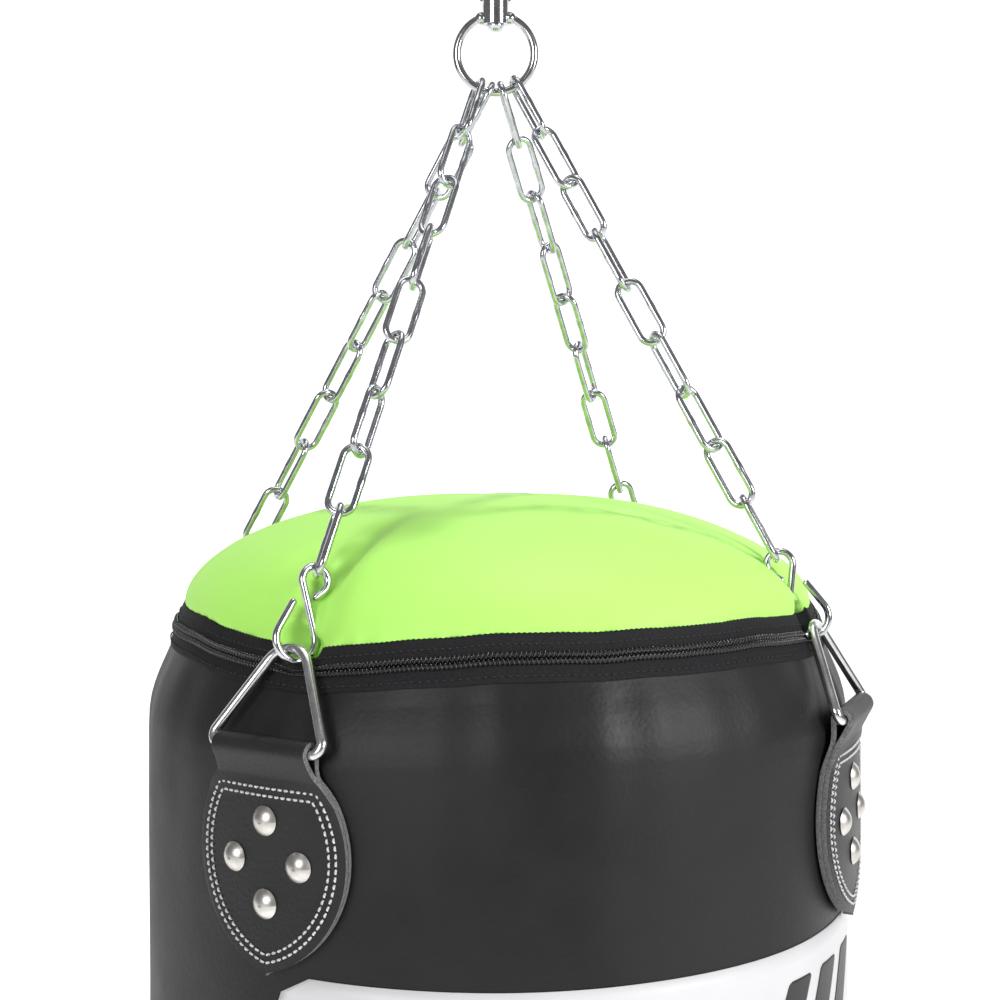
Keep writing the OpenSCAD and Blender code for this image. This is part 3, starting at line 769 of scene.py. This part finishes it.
for k, c in enumerate(corners):
    strap = strapSurface(k)
    piece = buildPiece("leatherTab_" + c, strap, False, False, (), inside=around(barR, tabAz[k], tabTop - 45))
    solidify(piece, tab["layer"], 0, 1)
    rounded = piece.modifiers.new("soften", "BEVEL")
    rounded.width = tab["edgeRound"] * mm
    rounded.segments = 2
    rounded.limit_method = "ANGLE"
    rounded.angle_limit = math.radians(50)
    settle(piece, "bag", [finishes["leather"], finishes["edge"]], ["tab_" + c])
    starts, ends, normals = [], [], []
    for inset in tab["insets"]:
        run = outlineRow(inset)
        closed = np.vstack([run, run[:1]])
        distance = np.concatenate([[0], np.cumsum(np.linalg.norm(np.diff(closed, axis=0), axis=1))])
        count = int(distance[-1] / tab["stitch"])
        begin = np.arange(count) / count * distance[-1]
        for at, store in ((begin, starts), (begin + tab["stitch"] * tab["stitchLong"], ends)):
            x = np.interp(at, distance, closed[:, 0])
            down = np.interp(at, distance, closed[:, 1])
            store.append(tabPoint(x, down, bag["radius"] + tab["lift"] + 2 * tab["layer"] + 0.25, k))
        beginAz = tabAz[k] + np.degrees(np.interp(begin, distance, closed[:, 0]) / bag["radius"])
        normals.append(around(1.0, beginAz, 0.0))
    stitchMesh("tabStitches_" + c, np.vstack(starts), np.vstack(ends), np.vstack(normals),
               tab["stitchWide"], finishes["whiteThread"], "bag")
print("tabs made")


ringZ = float(pivot("swivel_spin")[2])
panel = {"from": -31.5, "to": 84.0, "top": 395.0, "bottom": 805.0, "round": 16.0, "proud": 0.5,
         "bars": [37, 47, 57], "barWide": 6.5, "barTop": 14.0, "barBottom": 75.0, "barRound": 2.0,
         "barProud": 0.25, "slant": 11.0, "film": 0.4}


def panelPiece(name, left, right, top, bottom, rounding, slantBy, proud, finish):
    # A patch of the wall: x runs from left to right in degrees, its ends drawn in by a quarter circle
    # near the corners, and it leans by slantBy degrees from its foot to its head.
    v = np.linspace(0, 1, 60)[:, None]
    u = np.linspace(0, 1, 90 if right - left > 30 else 16)[None, :]
    down = top + (bottom - top) * v
    edge = np.minimum(down - top, bottom - down)
    inMm = rounding - np.sqrt(np.maximum(rounding ** 2 - np.maximum(rounding - edge, 0) ** 2, 0))
    inDeg = np.degrees(inMm / bag["radius"])
    lean = slantBy * (1 - v)
    azs = left + inDeg + lean + (right - left - 2 * inDeg) * u
    z = ringZ - down + 0 * u
    r = bag["radius"] + wrinkle(azs, z) + proud
    piece = buildPiece(name, around(r, azs, z), False, False, (), inside=(0, 0, -900))
    solidify(piece, panel["film"])
    return settle(piece, "bag", finish)


panelPiece("frontPanel", panel["from"], panel["to"], panel["top"], panel["bottom"], panel["round"], 0,
           panel["proud"], finishes["panel"])
for number, left in enumerate(panel["bars"]):
    panelPiece(f"panelBar_{number + 1}", left, left + panel["barWide"], panel["top"] + panel["barTop"],
               panel["top"] + panel["barBottom"], panel["barRound"], panel["slant"],
               panel["proud"] + panel["barProud"], finishes["bars"])
print("panel made")

# The lens is given by its focal length in thousandths of the picture's width
view = {"x": 15.1, "y": -819.8, "belowRing": 169.3, "focal": 1705.7, "shiftY": 0.0939, "yaw": 0.95,
        "roll": 0.2}
camera = bpy.data.objects.new("camera", bpy.data.cameras.new("camera"))
bpy.context.scene.collection.objects.link(camera)
camera.data.sensor_width = 36.0
camera.data.lens = camera.data.sensor_width * view["focal"] / 1000
camera.data.shift_y = -view["shiftY"]
camera.data.clip_end = 60
camera.location = (view["x"] * mm, view["y"] * mm, (ringZ - view["belowRing"]) * mm)
camera.rotation_mode = "XYZ"
camera.rotation_euler = (math.radians(90), math.radians(view["roll"]), math.radians(view["yaw"]))
bpy.context.scene.camera = camera
bpy.context.scene.view_settings.view_transform = "Standard"

# The sweep's places are in metres
room = {"floorZ": -1.75, "back": 6.0, "front": -5.0, "wide": 9.0, "bend": 1.5, "tall": 6.0}
turn = np.radians(np.linspace(0, 90, 16))
curveY = room["back"] - room["bend"] * (1 - np.sin(turn))
curveZ = room["bend"] * (1 - np.cos(turn))
floorY = np.concatenate([[room["front"], 0.0], curveY, [room["back"]]])
floorZ = np.concatenate([[0.0, 0.0], curveZ, [room["tall"]]]) + room["floorZ"]
across = np.linspace(-room["wide"], room["wide"], 2)[None, :]
sweep = np.stack(np.broadcast_arrays(across, floorY[:, None], floorZ[:, None]), -1)
stagePiece = buildPiece("studioSweep", sweep / mm, inside=(0, 1000, 200000))
paper = Finish("paleSweep", roughness=0.9, specular_ior_level=0.0, base_color=(0.92, 0.92, 0.92),
               emission_color=(1.0, 1.0, 1.0), emission_strength=0.75)
stagePiece.data.materials.append(paper.material)


def softbox(name, place, target, size, power):
    lamp = bpy.data.objects.new(name, bpy.data.lights.new(name, "AREA"))
    bpy.context.scene.collection.objects.link(lamp)
    lamp.data.shape = "RECTANGLE"
    lamp.data.size, lamp.data.size_y = size
    lamp.data.energy = power
    lamp.location = place
    heading = np.array(target, float) - np.array(place, float)
    yaw = math.atan2(-heading[0], heading[1])
    pitch = math.atan2(math.hypot(heading[0], heading[1]), -heading[2])
    lamp.rotation_euler = (pitch, 0, yaw)


# name, place, target, size and power; places and sizes in metres
softbox("overheadLight", (0.2, 0.45, 1.45), (0, 0, -0.26), (0.1, 0.1), 13)
softbox("frontLeftLight", (-0.8, -1.45, 0.15), (0, 0, -0.35), (0.7, 0.7), 12)
softbox("frontRightLight", (1.35, -0.95, 0.15), (0, 0, -0.35), (0.5, 0.7), 20)
softbox("topLight", (0.0, -0.2, 1.6), (0, 0, -0.3), (1.4, 1.2), 7)

world = bpy.data.worlds.new("studio")
bpy.context.scene.world = world
world.use_nodes = True
background = world.node_tree.nodes["Background"]
background.inputs["Color"].default_value = (0.5, 0.5, 0.51, 1)
background.inputs["Strength"].default_value = 0.36
print("studio made")
